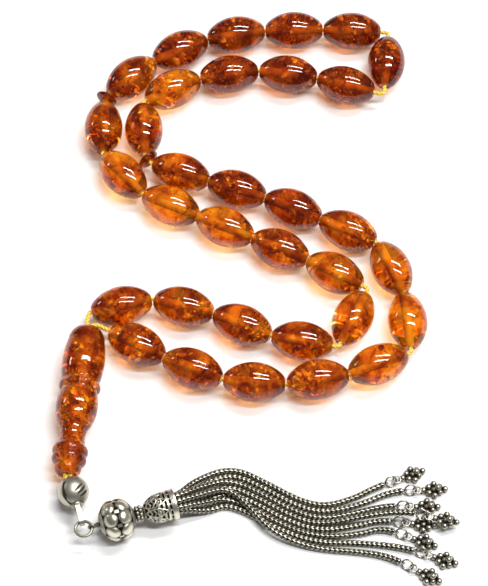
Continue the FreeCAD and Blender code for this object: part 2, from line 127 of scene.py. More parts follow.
world = bpy.data.worlds.new("studio")
bpy.context.scene.world = world
world.use_nodes = True
background = world.node_tree.nodes["Background"]
background.inputs["Color"].default_value = (1, 1, 1, 1)
background.inputs["Strength"].default_value = ROOM_STRENGTH
bpy.context.scene.view_settings.view_transform = "Standard"

FLOOR_HALF, FLOOR_DROP = 3.0, 2e-5
floor_mesh = bpy.data.meshes.new("floor")
corners = [(-1, -1), (1, -1), (1, 1), (-1, 1)]
floor_points = [(x * FLOOR_HALF, y * FLOOR_HALF, -FLOOR_DROP) for x, y in corners]
floor_mesh.from_pydata(floor_points, [], [(0, 1, 2, 3)])
floor = bpy.data.objects.new("floor", floor_mesh)
bpy.context.scene.collection.objects.link(floor)
floor_paint, _, shader = material("floor_paint")
shader.inputs["Base Color"].default_value = (0.93, 0.93, 0.93, 1)
shader.inputs["Roughness"].default_value = 0.6
shader.inputs["Specular IOR Level"].default_value = 0.2
floor_mesh.materials.append(floor_paint)


# ---------------------------------------------------------------- materials


def node(tree, kind, **values):
    """A shader node with its attributes or inputs set."""
    made = tree.nodes.new(kind)
    for key, value in values.items():
        if hasattr(made, key):
            setattr(made, key, value)
        else:
            made.inputs[key.replace("_", " ")].default_value = value
    return made


def ramp(tree, source, *stops):
    """A colour ramp fed from a socket."""
    made = tree.nodes.new("ShaderNodeValToRGB")
    elements = made.color_ramp.elements
    while len(elements) < len(stops):
        elements.new(0.5)
    for element, (place, colour) in zip(elements, stops):
        element.position = place
        element.color = (*colour, 1)
    tree.links.new(source, made.inputs[0])
    return made.outputs[0]


AMBER_IOR = 1.54
DEPTH_COLOUR = (0.8, 0.34, 0.03, 1)
SHADOW_COLOUR = (0.64, 0.6, 0.55, 1)


def amber(name, tint, clear, density, smoke):
    """Polished amber: clear resin with cloudy veins, coloured through its depth, that lets light past."""
    made, tree, shader = material(name)
    where = node(tree, "ShaderNodeTexCoord")
    cloud = node(tree, "ShaderNodeTexNoise", Scale=230.0, Detail=4.0, Roughness=0.6)
    tree.links.new(where.outputs["Object"], cloud.inputs["Vector"])
    colour = ramp(tree, cloud.outputs["Fac"], (0.38, smoke), (0.49, tint), (0.59, clear))
    tree.links.new(colour, shader.inputs["Base Color"])
    shader.inputs["Transmission Weight"].default_value = 0.9
    shader.inputs["Roughness"].default_value = 0.02
    shader.inputs["IOR"].default_value = AMBER_IOR
    fine = node(tree, "ShaderNodeTexNoise", Scale=520.0, Detail=2.0)
    tree.links.new(where.outputs["Object"], fine.inputs["Vector"])
    bump = node(tree, "ShaderNodeBump", Strength=0.05, Distance=0.0002)
    tree.links.new(fine.outputs["Fac"], bump.inputs["Height"])
    tree.links.new(bump.outputs[0], shader.inputs["Normal"])
    output = tree.nodes["Material Output"]
    depth = node(tree, "ShaderNodeVolumeAbsorption", Color=DEPTH_COLOUR, Density=density)
    tree.links.new(depth.outputs[0], output.inputs["Volume"])
    lit = node(tree, "ShaderNodeLightPath")
    clear_way = node(tree, "ShaderNodeBsdfTransparent", Color=SHADOW_COLOUR)
    mix = node(tree, "ShaderNodeMixShader")
    tree.links.new(lit.outputs["Is Shadow Ray"], mix.inputs[0])
    tree.links.new(shader.outputs[0], mix.inputs[1])
    tree.links.new(clear_way.outputs[0], mix.inputs[2])
    tree.links.new(mix.outputs[0], output.inputs["Surface"])
    return made


# The tones of amber: middle tint, lightest vein, absorption per metre and darkest cloud.
AMBER = {
    "mid": amber("amber_mid", (0.5, 0.125, 0.004), (1.0, 0.42, 0.014), 90, (0.18, 0.025, 0.001)),
    "dark": amber("amber_dark", (0.35, 0.066, 0.004), (0.66, 0.19, 0.01), 110, (0.15, 0.018, 0.001)),
    "clear": amber("amber_clear", (0.74, 0.25, 0.006), (1.0, 0.56, 0.018), 62, (0.26, 0.045, 0.002)),
    "disc": amber("amber_disc", (0.24, 0.045, 0.004), (0.4, 0.09, 0.008), 260, (0.15, 0.02, 0.002)),
}


def lining(name, colour):
    """The matt wall of a drilled bore."""
    made, tree, shader = material(name)
    grain = node(tree, "ShaderNodeTexNoise", Scale=900.0, Detail=3.0)
    stops = [(0.35, tuple(c * 0.7 for c in colour)), (0.65, colour)]
    tree.links.new(ramp(tree, grain.outputs["Fac"], *stops), shader.inputs["Base Color"])
    shader.inputs["Roughness"].default_value = 0.6
    return made


bore_wall = lining("bore_wall", (0.85, 0.4, 0.07))
leader_wall = lining("leader_wall", (0.8, 0.28, 0.03))


def spangles():
    """Stress discs inside amber, with painted glints: each disc is painted from red-brown to gold by a random
    glow, as if it caught the light.
    """
    made, tree, shader = material("spangles")
    glow = node(tree, "ShaderNodeAttribute", attribute_name="glow")
    colour = ramp(
        tree,
        glow.outputs["Fac"],
        (0.0, (0.2, 0.03, 0.0)),
        (0.4, (0.55, 0.12, 0.005)),
        (0.6, (1.0, 0.45, 0.04)),
        (1.0, (1.0, 0.85, 0.35)),
    )
    tree.links.new(colour, shader.inputs["Base Color"])
    shader.inputs["Roughness"].default_value = 0.22
    shader.inputs["Metallic"].default_value = 0.1
    return made


spangle_paint = spangles()


# How far the ambient occlusion looks for the painted shade in recesses.
RECESS_REACH = 0.0011
STAIN_SHARE = 0.3


def silver(name, dark, bright, rough, attribute=None, low=0.45, high=0.85):
    """Silver, painted black in its recesses and lighter on raised parts as painted shade, and glossier where
    it is lighter, with a random stain.

    The painted shade comes from an attribute of the mesh, or from an ambient occlusion node where it has none.
    """
    made, tree, shader = material(name)
    # Painted light: 0 where recesses are painted as shaded, 1 on raised parts.
    if attribute:
        painted_light = node(tree, "ShaderNodeAttribute", attribute_name=attribute).outputs["Fac"]
    else:
        hollow = node(tree, "ShaderNodeAmbientOcclusion", samples=8)
        hollow.inputs["Distance"].default_value = RECESS_REACH
        painted_light = hollow.outputs["AO"]
    where = node(tree, "ShaderNodeTexCoord")
    stain = node(tree, "ShaderNodeTexNoise", Scale=700.0, Detail=4.0)
    tree.links.new(where.outputs["Object"], stain.inputs["Vector"])
    mixed = node(tree, "ShaderNodeMath", operation="MULTIPLY_ADD")
    tree.links.new(stain.outputs["Fac"], mixed.inputs[0])
    mixed.inputs[1].default_value = STAIN_SHARE
    shifted = node(tree, "ShaderNodeMath", operation="SUBTRACT")
    tree.links.new(painted_light, shifted.inputs[0])
    shifted.inputs[1].default_value = STAIN_SHARE / 2
    tree.links.new(shifted.outputs[0], mixed.inputs[2])
    middle = tuple((a + b) / 2.6 for a, b in zip(dark, bright))
    halfway = (low + high) / 2 - 0.05
    colour = ramp(tree, mixed.outputs[0], (low - 0.2, dark), (halfway, middle), (high, bright))
    tree.links.new(colour, shader.inputs["Base Color"])
    shader.inputs["Metallic"].default_value = 0.92
    roughness = node(tree, "ShaderNodeMapRange", To_Min=rough + 0.25, To_Max=rough)
    tree.links.new(mixed.outputs[0], roughness.inputs["Value"])
    tree.links.new(roughness.outputs[0], shader.inputs["Roughness"])
    bump = node(tree, "ShaderNodeBump", Strength=0.12, Distance=0.0001)
    tree.links.new(stain.outputs["Fac"], bump.inputs["Height"])
    tree.links.new(bump.outputs[0], shader.inputs["Normal"])
    return made


# Every silver is darkened by painted shade in its recesses: the plain ones by ambient occlusion, the worked
# and chain ones by their mesh's painted light attribute.
silver_plain = silver("silver_plain", (0.03, 0.028, 0.02), (0.54, 0.51, 0.42), 0.4, None, 0.5, 1.05)
silver_grain = silver("silver_grain", (0.02, 0.018, 0.013), (0.46, 0.43, 0.35), 0.32, None, 0.5, 1.05)
silver_wire = silver("silver_wire", (0.02, 0.018, 0.014), (0.3, 0.28, 0.22), 0.34, None, 0.45, 0.95)
silver_worked = silver("silver_worked", (0.012, 0.011, 0.008), (0.74, 0.7, 0.57), 0.3, "painted_light")
silver_chain = silver("silver_chain", (0.008, 0.007, 0.005), (0.78, 0.74, 0.6), 0.3, "painted_light", 0.42, 0.9)

# The yarn's gold is painted darker in the grooves between its plies and lighter on their crests: painted
# shade, read from the mesh's painted light attribute.
yarn, tree, shader = material("yarn")
ply = node(tree, "ShaderNodeAttribute", attribute_name="painted_light")
gold = ramp(
    tree,
    ply.outputs["Fac"],
    (0.0, (0.55, 0.27, 0.01)),
    (0.6, (0.95, 0.62, 0.04)),
    (1.0, (1.0, 0.8, 0.15)),
)
tree.links.new(gold, shader.inputs["Base Color"])
shader.inputs["Roughness"].default_value = 0.7
shader.inputs["Sheen Weight"].default_value = 0.4
hair = node(tree, "ShaderNodeTexNoise", Scale=4000.0, Detail=2.0)
bump = node(tree, "ShaderNodeBump", Strength=0.3, Distance=0.0001)
tree.links.new(hair.outputs["Fac"], bump.inputs["Height"])
tree.links.new(bump.outputs[0], shader.inputs["Normal"])


# ---------------------------------------------------------------- mesh helpers


def build(name, points, faces, paints, attributes=(), material_index=None, smooth=True):
    """A mesh object from points in millimetres, with attributes given as (name, domain, values)."""
    mesh = bpy.data.meshes.new(name)
    mesh.from_pydata([tuple(float(c) * MM for c in p) for p in points], [], faces)
    for paint in paints:
        mesh.materials.append(paint)
    if material_index is not None:
        mesh.polygons.foreach_set("material_index", np.array(material_index, dtype=np.int32))
    mesh.polygons.foreach_set("use_smooth", [smooth] * len(mesh.polygons))
    for label, domain, values in attributes:
        layer = mesh.attributes.new(label, "FLOAT", domain)
        layer.data.foreach_set("value", np.array(values, dtype=np.float32))
    mesh.update()
    made = bpy.data.objects.new(name, mesh)
    bpy.context.scene.collection.objects.link(made)
    return made


def grid_faces(rows, columns, closed_rows=False):
    """Quads of a grid whose columns go round."""
    faces = []
    for row in range(rows if closed_rows else rows - 1):
        here, after = row * columns, (row + 1) % rows * columns
        for column in range(columns):
            beside = (column + 1) % columns
            faces.append((here + column, here + beside, after + beside, after + column))
    return faces


def drilled(name, profile, outside, bore, segments=48):
    """A piece turned about local Z. Its (radius, height) pairs run from one end of its bore to the other."""
    angles = np.linspace(0, FULL_TURN, segments, endpoint=False)
    points = [(r * math.cos(a), r * math.sin(a), z) for r, z in profile for a in angles]
    faces = grid_faces(len(profile), segments, closed_rows=True)
    outer_faces = (len(profile) - 1) * segments
    index = [0] * outer_faces + [1] * (len(faces) - outer_faces)
    return build(name, points, faces, [outside, bore], material_index=index)


def arc_points(start, end, bow, count):
    """Points after start along the arc that stands bow off the line from start to end."""
    if bow == 0:
        return [end]
    start, end = Vector(start), Vector(end)
    length = (end - start).length
    along = (end - start) / length
    away = Vector((along.y, -along.x)) * math.copysign(1, bow)
    radius = (length**2 / 4 + bow**2) / (2 * abs(bow))
    half = math.asin(min(1.0, length / 2 / radius))
    points = []
    for step in range(1, count + 1):
        angle = -half + 2 * half * step / count
        forward = radius * math.sin(angle) + length / 2
        rise = radius * math.cos(angle) - radius * math.cos(half)
        points.append(tuple(start + along * forward + away * rise))
    return points


def round_grain(centre, radius, rows=12, columns=18):
    """Points and faces of a small round grain."""
    points = []
    for row in range(rows + 1):
        tilt = math.pi * row / rows
        for column in range(columns):
            turn = FULL_TURN * column / columns
            out = Vector((math.sin(tilt) * math.cos(turn), math.sin(tilt) * math.sin(turn), math.cos(tilt)))
            points.append(centre + out * radius)
    return points, [face[::-1] for face in grid_faces(rows + 1, columns)]


# ---------------------------------------------------------------- beads

BEAD_COUNT = 33
BEAD_HALF, BEAD_RADIUS, BEAD_END, BEAD_FILLET, BORE = 7.5, 4.9, 1.65, 0.35, 0.75
DARK_BEADS = {9, 10, 14, 15, 16, 17, 18, 19, 20, 21}
CLEAR_BEADS = {5, 6, 7, 13, 24, 25, 26, 28, 29}
FLAKES_IN_BEAD = {"dark": 190, "mid": 150, "clear": 46}
FLAKE_CORNERS, FLAKE_SKIN, FLAKE_NEAREST = 7, 0.25, 1.0


def flank(height):
    """The bead's radius at this distance from its middle."""
    rise = BEAD_RADIUS - BEAD_END
    radius = (BEAD_HALF**2 + rise**2) / (2 * rise)
    return math.sqrt(radius**2 - height**2) - radius + BEAD_RADIUS


def bead_outline(edge_steps=4, flank_steps=46, flank_start=0.55):
    """The bead's profile: a flat end, a rounded edge, the bowed flank, and the same again."""
    flat = BEAD_END - BEAD_FILLET
    end = [(BORE, -BEAD_HALF), (flat, -BEAD_HALF)]
    for step in range(1, edge_steps + 1):
        angle = math.radians(-90 + 60 * step / edge_steps)
        end.append((flat + BEAD_FILLET * math.cos(angle), -BEAD_HALF + BEAD_FILLET * (1 + math.sin(angle))))
    length = 2 * (BEAD_HALF - flank_start)
    heights = [-BEAD_HALF + flank_start + length * step / flank_steps for step in range(flank_steps + 1)]
    side = [(flank(height), height) for height in heights]
    return end + side + [(r, -z) for r, z in reversed(end)]


def flakes(name, count, seed, length, radius_at, sizes):
    """Thin curled discs scattered inside a turned amber piece, thickest round three random patches."""
    chance = random.Random(seed)
    points, faces, glow = [], [], []
    patches = [(chance.uniform(-0.7, 0.7), chance.uniform(0, 6.28)) for _ in range(3)]
    while len(faces) < count * FLAKE_CORNERS:
        size = chance.uniform(*sizes) * (1.6 if chance.random() < 0.12 else 1.0)
        patch = chance.choice(patches)
        height = (patch[0] + chance.gauss(0, 0.3)) * length / 2
        if abs(height) > length / 2 - size - 0.6:
            continue
        farthest = radius_at(height) - size - FLAKE_SKIN
        nearest = FLAKE_NEAREST + size * 0.3
        if farthest < nearest:
            continue
        reach = nearest + (farthest - nearest) * math.sqrt(chance.random())
        turn = patch[1] + chance.gauss(0, 1.5)
        centre = Vector((reach * math.cos(turn), reach * math.sin(turn), height))
        facing = Vector((chance.gauss(0, 1), chance.gauss(0, 1), chance.gauss(0, 1))).normalized()
        side = facing.orthogonal().normalized()
        other = facing.cross(side)
        base = len(points)
        # A random painted glint for each flake.
        shine = chance.random() ** 0.8
        points.append(centre + facing * size * 0.12)
        for corner in range(FLAKE_CORNERS):
            angle = FULL_TURN * corner / FLAKE_CORNERS
            out = size * chance.uniform(0.65, 1.1)
            points.append(centre + (side * math.cos(angle) + other * math.sin(angle) * 0.7) * out)
            faces.append((base, base + 1 + corner, base + 1 + (corner + 1) % FLAKE_CORNERS))
            glow.append(min(1.0, max(0.0, shine + chance.uniform(-0.12, 0.12))))
    return build(name, points, faces, [spangle_paint], [("glow", "FACE", glow)], smooth=False)


bead_meshes = {}
for number in range(1, BEAD_COUNT + 1):
    joint = JOINTS[f"spin_bead_{number:02d}"]
    centre, axis = Vector(joint["pos_m"]) / MM, Vector(joint["axis"])
    tone = "dark" if number in DARK_BEADS else "clear" if number in CLEAR_BEADS else "mid"
    label = f"bead_{number:02d}"
    if tone not in bead_meshes:
        glass = drilled(f"{label}_amber", bead_outline(), AMBER[tone], bore_wall)
        bead_meshes[tone] = glass.data
    else:
        glass = bpy.data.objects.new(f"{label}_amber", bead_meshes[tone])
        bpy.context.scene.collection.objects.link(glass)
    place = aim(centre, axis, random.Random(number).uniform(0, 6.28))
    inside = flakes(f"{label}_spangles", FLAKES_IN_BEAD[tone], number, 2 * BEAD_HALF, flank, (0.25, 0.85))
    for piece in (glass, inside):
        piece.matrix_world = place
        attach(piece, label)
    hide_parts(label)


# ---------------------------------------------------------------- dividers

DIVIDER_HALF, DIVIDER_RIM, DIVIDER_BOSS, DIVIDER_RADIUS = 0.95, 0.35, 1.1, 2.8
DIVIDER_BEVEL, DIVIDER_BOW = 0.12, 0.16
DIVIDER_BEFORE_BEAD = {12: 1, 23: 2}


def divider_outline():
    """The lens of a divider: a flat boss, a bowed face, a thin rim, and the same again."""
    shoulder = DIVIDER_RADIUS - DIVIDER_BEVEL
    boss = (DIVIDER_BOSS, DIVIDER_HALF)
    profile = [(BORE, -DIVIDER_HALF), (DIVIDER_BOSS, -DIVIDER_HALF)]
    profile += arc_points(profile[-1], (shoulder, -DIVIDER_RIM / 2), DIVIDER_BOW, 10)
    profile += [(DIVIDER_RADIUS, -DIVIDER_RIM / 4), (DIVIDER_RADIUS, DIVIDER_RIM / 4)]
    profile.append((shoulder, DIVIDER_RIM / 2))
    return profile + arc_points(profile[-1], boss, DIVIDER_BOW, 10) + [(BORE, DIVIDER_HALF)]


for number in DIVIDER_BEFORE_BEAD.values():
    joint = JOINTS[f"spin_divider_{number}"]
    disc = drilled(f"divider_{number}_amber", divider_outline(), AMBER["disc"], bore_wall)
    disc.matrix_world = aim(Vector(joint["pos_m"]) / MM, joint["axis"])
    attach(disc, f"divider_{number}")
    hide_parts(f"divider_{number}")


# ---------------------------------------------------------------- leader bead

IMAM_LENGTH, IMAM_RADIUS, IMAM_BORE = 40.0, 5.2, 1.35
LEADER_FLAKES, LEADER_SEED = 900, 99
# Share of the radius, share of the height from the lower end, and bow of the curve that leads there.
IMAM_PROFILE = [
    (0.42, 0.0, 0.0),
    (0.59, 0.066, 0.55),
    (0.72, 0.124, 0.75),
    (0.71, 0.185, 0.62),
    (0.66, 0.307, -0.45),
    (0.83, 0.566, 1.2),
    (0.85, 0.61, 0.72),
    (0.87, 0.902, 0.75),
    (0.37, 1.0, 0.75),
]
profile = [(IMAM_BORE, 0.0)]
for share, height, bow in IMAM_PROFILE:
    profile += arc_points(profile[-1], (IMAM_RADIUS * share, IMAM_LENGTH * height), bow, 16)
profile.append((IMAM_BORE, IMAM_LENGTH))
imam_heights, imam_radii = [z for _, z in profile[1:-1]], [r for r, _ in profile[1:-1]]
leader = drilled("leader_amber", profile, AMBER["mid"], leader_wall, segments=64)
joint = JOINTS["imam_spin"]
middle = Vector(joint["pos_m"]) / MM
leader.matrix_world = aim(middle - Vector(joint["axis"]) * (IMAM_LENGTH / 2), joint["axis"])


def imam_radius(height):
    """The leader bead's radius at this distance from its middle."""
    return float(np.interp(height + IMAM_LENGTH / 2, imam_heights, imam_radii))


inside = flakes("leader_spangles", LEADER_FLAKES, LEADER_SEED, IMAM_LENGTH, imam_radius, (0.2, 0.6))
inside.matrix_world = aim(middle, joint["axis"])
for piece in (leader, inside):
    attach(piece, "imam")
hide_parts("imam")


# ---------------------------------------------------------------- paths

SAME_POINT = 1e-7


def smooth_line(points, step):
    """Even points along the NURBS spline that has these control points, and how far along it each one is."""
    curve = bpy.data.curves.new("route", "CURVE")
    curve.dimensions = "3D"
    spline = curve.splines.new("NURBS")
    spline.points.add(len(points) - 1)
    for control, point in zip(spline.points, points):
        control.co = (*point, 1)
    spline.order_u = 3
    spline.use_endpoint_u = True
    spline.resolution_u = 24
    holder = bpy.data.objects.new("route", curve)
    bpy.context.scene.collection.objects.link(holder)
    run = bpy.data.meshes.new_from_object(holder.evaluated_get(bpy.context.evaluated_depsgraph_get()))
    read = np.array([tuple(vertex.co) for vertex in run.vertices])
    bpy.data.objects.remove(holder)
    bpy.data.meshes.remove(run)
    gaps = np.linalg.norm(np.diff(read, axis=0), axis=1)
    read = read[np.concatenate([[True], gaps > SAME_POINT])]
    travelled = np.concatenate([[0], np.cumsum(np.linalg.norm(np.diff(read, axis=0), axis=1))])
    stations = np.linspace(0, travelled[-1], max(4, int(travelled[-1] / step) + 1))
    line = np.stack([np.interp(stations, travelled, read[:, axis]) for axis in range(3)], axis=1)
    return line, stations


def sleeve(name, line, stations, shape, columns, paint):
    """A tube along a line. shape gives its radius and painted light, dark as shade in its grooves, at every
    angle and station.
    """
    tangents = np.gradient(line, axis=0)
    tangents /= np.linalg.norm(tangents, axis=1)[:, None]
    side = np.cross((0, 0, 1.0), tangents[0])
    side /= np.linalg.norm(side)
    angles = np.linspace(0, FULL_TURN, columns, endpoint=False)
    points, painted_lights = [], []
    for place, tangent, station in zip(line, tangents, stations):
        side = side - tangent * side.dot(tangent)
        side /= np.linalg.norm(side)
        up = np.cross(tangent, side)
        radius, painted_light = shape(angles, station)
        out = side * np.cos(angles)[:, None] + up * np.sin(angles)[:, None]
        points.append(place + out * radius[:, None])
        painted_lights.append(painted_light)
    faces = grid_faces(len(line), columns)
    count = len(line) * columns
    faces.append(tuple(range(columns))[::-1])
    faces.append(tuple(range(count - columns, count)))
    return build(name, np.concatenate(points), faces, [paint], [("painted_light", "POINT", np.concatenate(painted_lights))])


# ---------------------------------------------------------------- thread

IMAM_TOP, IMAM_HEADING, STRAND_OFFSET = (-38.1, -13.0, 5.25), 264.4, 0.6
COVER_CENTRE = (-40.3, -57.2, 5.1)
STRAIGHT_ON = 0.005
THREAD_CORE, PLY_DEPTH, TWIST_PITCH = 0.47, 0.1, 1.1


def meeting(point, along, other, other_along):
    """Where two level lines cross."""
    apart = (other - point).to_2d()
    share = apart.cross(other_along.to_2d()) / along.to_2d().cross(other_along.to_2d())
    return point + along * share


down = direction(IMAM_HEADING)
top = layout(*IMAM_TOP)
bottom = top + down * IMAM_LENGTH
strands = [
    [
        point + left_of(IMAM_HEADING) * offset
        for point in (layout(*COVER_CENTRE), bottom + down * 0.5, bottom - down * 3, top + down * 3)
    ]
    for offset in (STRAND_OFFSET, -STRAND_OFFSET)
]
order = []
for number in range(1, BEAD_COUNT + 1):
    if number in DIVIDER_BEFORE_BEAD:
        order.append((JOINTS[f"spin_divider_{DIVIDER_BEFORE_BEAD[number]}"], DIVIDER_HALF))
    order.append((JOINTS[f"spin_bead_{number:02d}"], BEAD_HALF))
stops = [(Vector(joint["pos_m"]) / MM, Vector(joint["axis"]), half) for joint, half in order]
first, last = stops[0], stops[-1]
route = [*strands[0], meeting(first[0], -first[1], strands[0][3], down)]
for number, (centre, axis, half) in enumerate(stops):
    route += [centre - axis * half, centre + axis * half]
    if number + 1 < len(stops):
        after = stops[number + 1]
        if axis.angle(after[1]) > STRAIGHT_ON:
            route.append(meeting(centre, axis, after[0], after[1]))
route += [meeting(last[0], last[1], strands[1][3], down), *reversed(strands[1])]
line, stations = smooth_line(route, 0.22)


def twisted(angles, station):
    """A three-ply twist, with painted shade in the grooves between the plies."""
    ply = 0.5 + 0.5 * np.cos(3 * angles - FULL_TURN * station / TWIST_PITCH)
    return THREAD_CORE + PLY_DEPTH * ply, ply


thread = sleeve("thread_yarn", line, stations, twisted, 15, yarn)
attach(thread, "string")
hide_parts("thread")


# ---------------------------------------------------------------- silver fittings kept from the frame

PIN_HEADING, COVER_HEADING, LINK_DISTANCE = 17.0, -74.0, 9.95
MARK_RADIUS = 3.79


def repaint(label, paint):
    """A CAD node that keeps its shape and takes this material."""
    NODES[label].data.materials.clear()
    NODES[label].data.materials.append(paint)


for label in ("knot_cover_front", "knot_cover_rear"):
    repaint(label, silver_plain)
for label in ("link_ring", "eye_pin"):
    repaint(label, silver_wire)


def on_sphere(longitude, latitude):
    """The unit vector at a longitude and latitude in degrees."""
    level = direction(longitude) * math.cos(math.radians(latitude))
    return level + Vector((0, 0, math.sin(math.radians(latitude))))


def strokes(name, marks, radius, centre, steps=12):
    """Cut lines on a sphere that taper to both ends, each from one place to another with a width."""
    points, faces = [], []
    for start, end, width in marks:
        base = len(points)
        start, end = on_sphere(*start), on_sphere(*end)
        for step in range(steps + 1):
            place = start.lerp(end, step / steps).normalized()
            taper = math.sin(math.pi * (0.1 + 0.8 * step / steps))
            side = place.cross(end - start).normalized() * width / 2 * taper
            points += [centre + place * radius - side, centre + place * radius + side]
        for step in range(steps):
            near = base + 2 * step
            faces.append((near, near + 2, near + 3, near + 1))
    return build(name, points, faces, [groove])


groove, _, shader = material("groove")
shader.inputs["Base Color"].default_value = (0.012, 0.01, 0.008, 1)
shader.inputs["Roughness"].default_value = 0.7
# Three plain strokes, and the seam between the cover's halves in three runs.
marks = strokes(
    "knot_cover_marks",
    [
        ((-65, 67), (20, 53), 0.5),
        ((-58, 53), (8, 41), 0.5),
        ((-50, 39), (-6, 28), 0.5),
        ((136, 50), (207, 48), 0.6),
        ((200, 50), (247, 26), 0.75),
        ((243, 29), (279, 1), 0.6),
    ],
    MARK_RADIUS,
    layout(*COVER_CENTRE),
)
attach(marks, "knot_cover")
link_centre = layout(*COVER_CENTRE) + direction(COVER_HEADING) * LINK_DISTANCE
pin = direction(PIN_HEADING)


def circle(radius, height, columns):
    """The points of a circle round local Z."""
    angles = [FULL_TURN * column / columns for column in range(columns)]
    return [(radius * math.cos(angle), radius * math.sin(angle), height) for angle in angles]


def worked(rows, columns, radius_at, relief, first, last):
    """The points and painted light of a turned shell with relief, which gives its rise and painted light at
    every place; recesses are painted dark as shade.
    """
    points, painted_lights = [], []
    for row in range(rows):
        height = first + (last - first) * row / (rows - 1)
        base = radius_at(height)
        for column in range(columns):
            angle = FULL_TURN * column / columns
            rise, painted_light = relief(angle, height, base)
            points.append(((base + rise) * math.cos(angle), (base + rise) * math.sin(angle), height))
            painted_lights.append(painted_light)
    return points, painted_lights


# ---------------------------------------------------------------- ball

SILVER_BORE, BORE_SHADE = 0.52, 0.3
BALL_HALF, BALL_RADIUS, BALL_END = 4.3, 4.62, 1.4
BALL_ROWS, BALL_COLUMNS, BALL_DISTANCE = 120, 240, 8.1
DOMES_ROUND, DOME_ROW, DOME_RADIUS, DOME_RISE, DOME_FLATTENING = 8, 1.78, 1.62, 0.5, 1.12


def ball_radius(height):
    """The ball's radius at this distance from its middle, without relief."""
    rise = BALL_RADIUS - BALL_END
    radius = (BALL_HALF**2 + rise**2) / (2 * rise)
    return math.sqrt(max(radius**2 - height**2, 0)) - radius + BALL_RADIUS


def domes(angle, height, base):
    """Two rows of round domes in wire rings with small studs between them, the ground painted dark as shade
    and the domes' tops painted lighter.
    """
    step = FULL_TURN / DOMES_ROUND
    near = (angle + step / 2) % step - step / 2
    row = math.copysign(DOME_ROW, height)
    share = math.hypot(near * base, (height - row) * DOME_FLATTENING) / DOME_RADIUS
    if share < 1:
        return DOME_RISE * math.sqrt(1 - share**2 * 0.96) - 0.02, 0.62 + 0.38 * (1 - share**3)
    if share < 1.12:
        return 0.08, 0.6
    if abs(height) > 3.5:
        return 0.05, 0.65
    star = abs(abs(near) - step / 2) < 0.1 and abs(height) < 0.6
    return -0.08, 0.75 if star else 0.05


points, painted_lights = worked(BALL_ROWS, BALL_COLUMNS, ball_radius, domes, -BALL_HALF, BALL_HALF)
for height in (BALL_HALF, -BALL_HALF):
    points += circle(SILVER_BORE, height, BALL_COLUMNS)
# The bore's rows are painted dark, as shade inside the hole.
painted_lights += [BORE_SHADE] * (2 * BALL_COLUMNS)
faces = grid_faces(BALL_ROWS + 2, BALL_COLUMNS, closed_rows=True)
ball = build("ball_silver", points, faces, [silver_worked], [("painted_light", "POINT", painted_lights)])
ball.matrix_world = aim(link_centre + pin * BALL_DISTANCE, pin, math.pi / DOMES_ROUND)
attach(ball, "ball")
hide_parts("ball")


# ---------------------------------------------------------------- granule collar

COLLAR_HALF, COLLAR_RADIUS, COLLAR_BEVEL, COLLAR_COLUMNS, COLLAR_DISTANCE = 0.95, 1.2, 0.1, 32, 13.45
GRAINS_ROUND, GRAIN_ROW, GRAIN_REACH, GRAIN_RADIUS = 10, 0.42, 1.5, 0.46

end = [
    (SILVER_BORE, -COLLAR_HALF),
    (COLLAR_RADIUS - COLLAR_BEVEL, -COLLAR_HALF),
    (COLLAR_RADIUS, COLLAR_BEVEL - COLLAR_HALF),
]
profile = end + [(radius, -height) for radius, height in reversed(end)]
points = [point for radius, height in profile for point in circle(radius, height, COLLAR_COLUMNS)]
faces = grid_faces(len(profile), COLLAR_COLUMNS, closed_rows=True)
for height, shift in ((-GRAIN_ROW, 0), (GRAIN_ROW, 0.5)):
    for number in range(GRAINS_ROUND):
        out = direction(360 / GRAINS_ROUND * (number + shift))
        more, quads = round_grain(out * GRAIN_REACH + Vector((0, 0, height)), GRAIN_RADIUS)
        faces += [tuple(corner + len(points) for corner in quad) for quad in quads]
        points += more
collar = build("collar_silver", points, faces, [silver_plain])
collar.matrix_world = aim(link_centre + pin * COLLAR_DISTANCE, pin)
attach(collar, "granule_collar")
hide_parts("granule_collar")


# ---------------------------------------------------------------- filigree cone

CONE_LENGTH, CONE_TIP, CONE_RIM_RADIUS, CONE_WALL, CONE_DISTANCE = 7.9, 1.3, 3.78, 0.5, 14.5
CONE_ROWS, CONE_COLUMNS, INNER_SHADE = 110, 288, 0.25
TIP_BAND, LOWER_BEAD, HOLES, UPPER_BEAD, RIM = 0.35, 5.55, 5.8, 6.95, 7.25
DROPS_ROUND, HOLES_ROUND = 8, 16
RAISED, SUNKEN = 0.04, -0.1
cone_outline = [(CONE_TIP, 0.0)] + arc_points((CONE_TIP, 0.0), (3.45, 5.2), 0.72, 20) + [(3.62, 7.2)]
outline_radii, outline_heights = [r for r, _ in cone_outline], [z for _, z in cone_outline]


def cone_radius(height):
    """The cone's outer radius at this distance from its tip."""
    if height > RIM:
        return CONE_RIM_RADIUS
    return float(np.interp(height, outline_heights, outline_radii))


